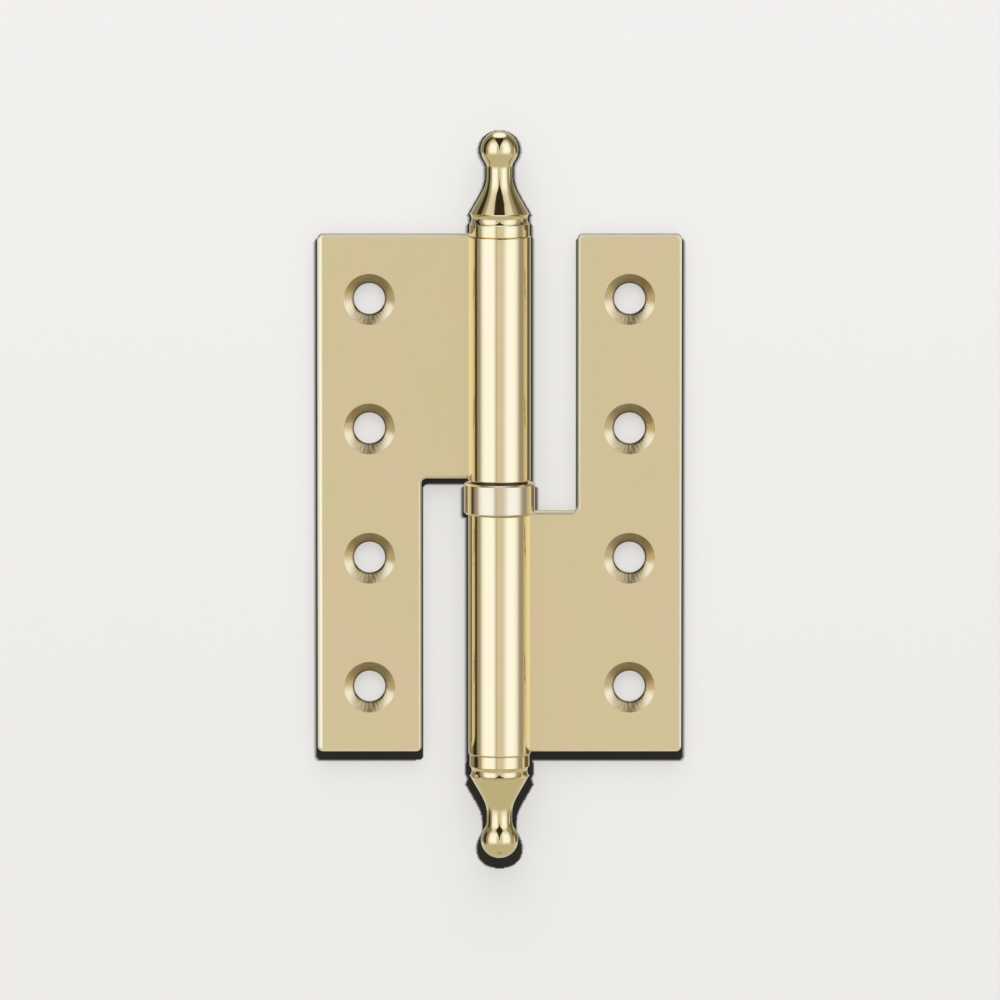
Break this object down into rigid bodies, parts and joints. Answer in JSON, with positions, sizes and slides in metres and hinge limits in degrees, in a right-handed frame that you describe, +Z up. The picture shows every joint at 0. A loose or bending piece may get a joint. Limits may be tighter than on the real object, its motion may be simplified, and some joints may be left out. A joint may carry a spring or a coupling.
{
  "type": "lift-off hinge",
  "caption": "Lift-off door hinge: two rolled brass leaves on one pin, a thrust ball ring between the knuckles and a turned ball tip at each end.",
  "frame": {"origin": "on the pin's axis, halfway up the leaves", "axes": "+Z up along the pin to the upper finial, +X from the pin towards the frame leaf, -Y out of the countersunk faces, with the hinge open flat"},
  "size_m": [0.07, 0.0136, 0.1404],
  "materials": {
    "leaf_brass": "polished, with faint upright brushing on the flat faces",
    "finial_brass": "bright turned and polished",
    "ring_brass": "polished, a little paler than the leaves",
    "pin_steel": "ground and lightly oiled",
    "race_steel": "blackened and oiled",
    "cage_brass": "stamped, satin",
    "ball_steel": "polished"
  },
  "bodies": {
    "frame_half": {"frame_leaf": "leaf_brass", "hinge_pin": "pin_steel", "lower_finial": "finial_brass", "bearing_shroud": "ring_brass", "lower_race": "race_steel"},
    "ball_set": {"ball_cage": "cage_brass", "bearing_balls": "ball_steel"},
    "turning_race": {"upper_race": "race_steel"},
    "door_half": {"door_leaf": "leaf_brass", "upper_finial": "finial_brass"}
  },
  "joints": [
    {"name": "swing", "type": "hinge", "parent": "frame_half", "child": "turning_race", "pos_m": [0, 0, 0], "axis": [0, 0, 1], "range_deg": [0, 180]},
    {"name": "ball_roll", "type": "hinge", "parent": "frame_half", "child": "ball_set", "pos_m": [0, 0, 0], "axis": [0, 0, 1], "range_deg": [0, 90]},
    {"name": "lift_off", "type": "slide", "parent": "turning_race", "child": "door_half", "axis": [0, 0, 1], "range_m": [0, 0.035]}
  ],
  "couplings": [
    {"joint": "ball_roll", "follows": "swing", "ratio": 0.5}
  ]
}
